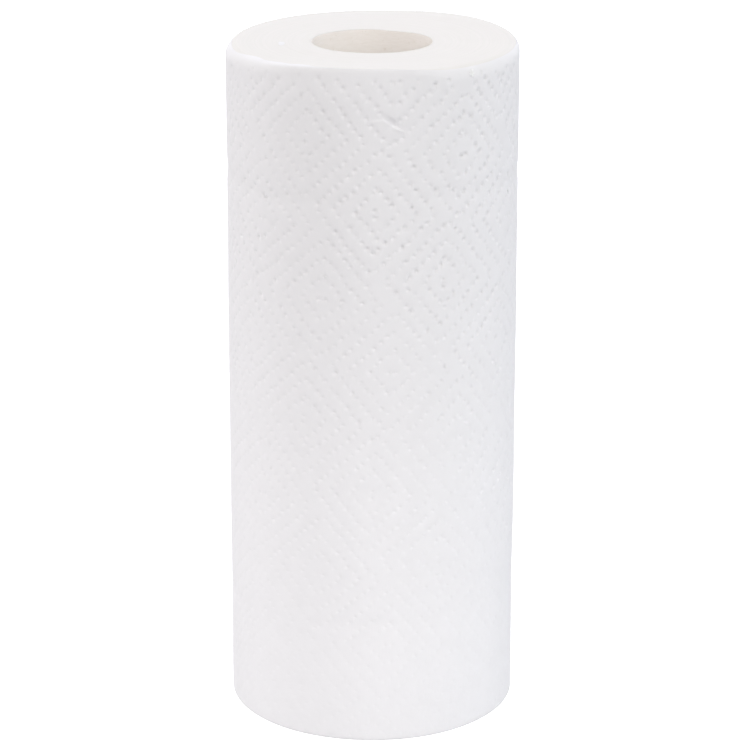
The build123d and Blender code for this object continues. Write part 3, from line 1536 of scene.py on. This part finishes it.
@dataclass
class TornTuft:
    """The frayed tuft of torn tissue that stands out just under the top rim, at the front right."""

    form: RollForm
    strip_length: float = 1.35
    strip_width: float = 1.3
    strip_thickness: float = 0.06
    lift: float = 0.12
    # From these shares of its length on, a strip narrows and lifts.
    narrowings: Series = (0.25, 0.45, 0.65, 0.85)
    taper: float = 0.84
    # The strips after the first spread all round in a star, pressed nearly flat: turn and size.
    spread: tuple[Pair, ...] = ((77.0, 0.8), (140.0, 1.05), (218.0, 0.7), (296.0, 0.85))

    def build(self, finish: Material) -> Piece:
        """Makes one strip, copies it round into a tuft and dresses it.

        Args:
            finish: The tissue material.

        Returns:
            The tuft's object.
        """
        strips = [self.strip()]
        for turn, size in self.spread:
            strip = strips[0].copy()
            strip.data = strips[0].data.copy()
            bpy.context.scene.collection.objects.link(strip)
            strip.rotation_euler = (0, 0, math.radians(turn))
            strip.scale = (size, 1.0, size)
            settle_place(strip)
            strips.append(strip)
        piece = join(strips, "torn_tuft")
        map_to_web(piece.data, coordinates(piece)[:, :2] / MM)
        self.put_on_roll(piece)
        return dress(piece, finish, 60)

    def strip(self) -> Piece:
        """One strip of torn ply: narrow at its tip, and curled up from the paper under it.

        Returns:
            The strip, flat at the origin.
        """
        deselect_all()
        bpy.ops.mesh.primitive_plane_add(size=1, location=(0.5, 0, 0))
        strip = bpy.context.object
        settle_place(strip)
        bpy.ops.object.mode_set(mode="EDIT")
        bpy.ops.mesh.select_all(action="SELECT")
        bpy.ops.transform.resize(value=(self.strip_length, self.strip_width, 1), center_override=(0, 0, 0))
        bpy.ops.mesh.subdivide(number_cuts=5)
        for share in self.narrowings:
            select_vertices(strip, lambda place: place.x > share * self.strip_length)
            bpy.ops.transform.resize(value=(1, self.taper, 1), center_override=(0, 0, 0))
            bpy.ops.transform.translate(value=(0, 0, self.lift / len(self.narrowings)))
        bpy.ops.mesh.select_all(action="SELECT")
        bpy.ops.transform.resize(value=(MM, MM, MM), center_override=(0, 0, 0))
        bpy.ops.object.mode_set(mode="OBJECT")
        thicken(strip, self.strip_thickness, 0)
        return strip

    def put_on_roll(self, piece: Piece) -> None:
        """Stands the tuft on the side of the roll, its strips spread over the paper.

        Args:
            piece: The tuft, flat at the origin.
        """
        along, up = (np.array([length]) for length in self.form.tuft_place)
        azimuth = self.form.azimuth(along)
        inset, level, lean = self.form.fold_over(up, azimuth)
        radius = self.form.web_radius(azimuth) - inset + self.form.relief(along, up)
        place = self.form.cylinder_places(radius, azimuth, level)[0] * MM
        turned = Matrix.Rotation(math.radians(float(azimuth[0])), 4, "Z")
        upright = Matrix.Rotation(QUARTER_TURN - float(lean[0]), 4, "Y")
        piece.matrix_world = Matrix.Translation(place) @ turned @ upright
        settle_place(piece)


@dataclass
class PaperCrumb:
    """A crumb of paper dust left by the saw, on the top face at the left."""

    form: RollForm
    place: Pair = (-30.9, -4.8)
    size: Triple = (0.9, 2.2, 0.06)
    roughness: float = 0.16
    lump_axes: tuple[Triple, ...] = ((1.0, 0.3, 0.0), (0.0, 1.0, 0.4), (0.5, 0.0, 1.0))
    # One end is drawn out and curls to the side.
    drawn_out: float = 0.5
    curl: float = 0.45

    def build(self, finish: Material) -> Piece:
        """Makes the crumb from a ball, pressed flat and roughened, and dresses it.

        Args:
            finish: The tissue material.

        Returns:
            The crumb's object.
        """
        deselect_all()
        bpy.ops.mesh.primitive_ico_sphere_add(subdivisions=3, radius=MM, location=(0, 0, 0))
        piece = bpy.context.object
        piece.name = piece.data.name = "paper_crumb"
        places = coordinates(piece) / MM
        lumps = enumerate(self.lump_axes)
        rough = sum(ripple(places @ np.array(axis) / 2, 71 + number, 4, 0.4, 1.6) for number, axis in lumps)
        places *= (1 + self.roughness * rough)[:, None]
        places[:, 0] += self.drawn_out * np.clip(places[:, 0] - 0.2, 0, None)
        places[:, 1] += self.curl * np.clip(places[:, 0] - 0.3, 0, None) ** 2
        move_vertices(piece, places * self.size + (*self.place, self.form.web_width))
        map_to_web(piece.data, coordinates(piece)[:, :2] / MM)
        return dress(piece, finish, 60)


# The studio


@dataclass(frozen=True)
class SoftLight:
    """One soft box: its size, place, power, colour and aim."""

    name: str
    place: Triple
    size: Pair
    power: float
    colour: str = "#FFFFFF"
    aim: Triple = (0.0, 0.0, 0.12)

    def build(self) -> None:
        """Adds the light, turned so that it shines at its aim."""
        deselect_all()
        bpy.ops.object.light_add(type="AREA", location=self.place)
        light = bpy.context.object
        light.name = self.name
        light.data.shape = "RECTANGLE"
        light.data.size, light.data.size_y = self.size
        light.data.energy = self.power
        light.data.color = linear(self.colour)[:3]
        light.visible_camera = False
        direction = Vector(self.aim) - Vector(self.place)
        light.rotation_euler = direction.to_track_quat("-Z", "Y").to_euler()


@dataclass
class Studio:
    """The white floor, the even white surround, the soft boxes and the camera."""

    floor_size: float = 9.0
    surround: float = 0.4225
    camera_place: Triple = (0.0, -1.0534, 0.4709)
    camera_dip: float = 0.32345
    camera_roll: float = 0.00117
    sensor_mm: float = 36.0
    lens_mm: float = 152.33
    sideways_shift: float = 0.00303
    sight: float = 50.0
    high_aim: Triple = (0.0, 0.0, 0.2)
    foot_aim: Triple = (0.0, 0.0, 0.004)

    def lights(self) -> tuple[SoftLight, ...]:
        """The soft boxes, and three low strips that light the foot.

        Returns:
            The lights, in the order in which they are added.
        """
        high, foot = self.high_aim, self.foot_aim
        return (
            SoftLight("top_box", (0.0, 0.1, 1.9), (1.6, 1.6), 1.06, "#FCFFF1", high),
            SoftLight("front_top_box", (0.0, -1.5, 1.7), (1.6, 1.0), 10.4, "#FFFFF2"),
            SoftLight("left_box", (-1.5, -0.9, 0.9), (1.0, 1.4), 7.75, "#FFF5F3"),
            SoftLight("right_box", (1.5, -0.9, 0.9), (1.0, 1.4), 9.8),
            SoftLight("right_top_box", (1.3, -1.0, 1.5), (1.0, 1.0), 2.3),
            SoftLight("back_box", (0.0, 1.6, 1.5), (1.6, 1.0), 25.4, "#F0F1FC", high),
            SoftLight("front_box", (0.0, -1.8, 1.1), (1.2, 0.8), 3.1, "#FFFEF8", high),
            SoftLight("left_rear_box", (-1.7, 0.6, 0.4), (1.0, 0.8), 10.6, "#FDFEFC"),
            SoftLight("right_rear_box", (1.7, 0.6, 0.4), (1.0, 0.8), 5.4, "#E8F5FF"),
            SoftLight("foot_strip", (0.0, -0.26, 0.016), (0.4, 0.03), 0.15, aim=foot),
            SoftLight("left_foot_strip", (-0.23, -0.12, 0.016), (0.3, 0.03), 0.064, aim=foot),
            SoftLight("right_foot_strip", (0.23, -0.12, 0.016), (0.3, 0.03), 0.064, aim=foot),
        )

    def build(self, floor_finish: Material) -> None:
        """Sets the studio up.

        Args:
            floor_finish: The floor's material.
        """
        self.floor(floor_finish)
        self.surroundings()
        for light in self.lights():
            light.build()
        self.camera()

    def floor(self, finish: Material) -> None:
        """Lays the floor, which isn't part of the object.

        Args:
            finish: The floor's material.
        """
        deselect_all()
        bpy.ops.mesh.primitive_plane_add(size=self.floor_size, location=(0, 0, 0))
        board = bpy.context.object
        board.name = "studio_floor"
        board.data.materials.append(finish)
        board.visible_diffuse = False

    def surroundings(self) -> None:
        """Surrounds the scene with even white light, and shows colours as they are."""
        scene = bpy.context.scene
        world = bpy.data.worlds.new("white_surround")
        world.use_nodes = True
        tree = world.node_tree
        tree.nodes.clear()
        sky = add_node(tree, "Background", {"Color": linear("#FFFFFF"), "Strength": self.surround})
        add_node(tree, "OutputWorld", {"Surface": sky.outputs[0]})
        scene.world = world
        scene.view_settings.view_transform = "Standard"

    def camera(self) -> None:
        """Sets the camera at the photograph's angle."""
        deselect_all()
        bpy.ops.object.camera_add(location=self.camera_place)
        camera = bpy.context.object
        camera.name = "photo_camera"
        dipped = Matrix.Rotation(QUARTER_TURN - self.camera_dip, 4, "X")
        camera.rotation_euler = (dipped @ Matrix.Rotation(self.camera_roll, 4, "Z")).to_euler()
        camera.data.sensor_width = self.sensor_mm
        camera.data.lens = self.lens_mm
        camera.data.shift_x = self.sideways_shift
        camera.data.clip_end = self.sight
        bpy.context.scene.camera = camera


def attach(piece: Piece, node: str) -> None:
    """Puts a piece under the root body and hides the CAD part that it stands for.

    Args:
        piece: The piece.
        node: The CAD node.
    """
    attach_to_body(piece, "root")
    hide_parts(node)


def main() -> None:
    logging.basicConfig(level=logging.INFO, format="%(name)s: %(message)s")
    form = RollForm()
    pattern = EmbossPattern()
    tissue = EmbossedTissue().build()
    tail = form.tail_along
    perforation = tail - SHEET_LENGTH
    tucked = tail - form.full_turn - UNDER_TAIL
    outer = WebSheet("outer_sheet", form, pattern, perforation, tail, WebEdge.PERFORATED, WebEdge.TORN)
    second = WebSheet("second_sheet", form, pattern, tucked, perforation, WebEdge.TUCKED, WebEdge.PERFORATED)
    attach(outer.build(tissue), "paper_roll")
    attach(second.build(tissue), "paper_roll")
    attach(WoundTurns(form).build(CutTissueEdges().build()), "paper_roll")
    # The tuft's paper is whiter than the sheet's: a painted highlight for the light its raised strips catch.
    tuft_highlight_tissue = EmbossedTissue(name="tuft_painted_highlight", paper="#F7F7F8", thin_places="#F4F4F6").build()
    attach(TornTuft(form).build(tuft_highlight_tissue), "paper_roll")
    attach(PaperCrumb(form).build(tissue), "paper_roll")
    attach(CoreTube(form).build(Greyboard().build()), "core_tube")
    Studio().build(StudioBoard().build())
    deselect_all()


if __name__ == "__main__":
    main()
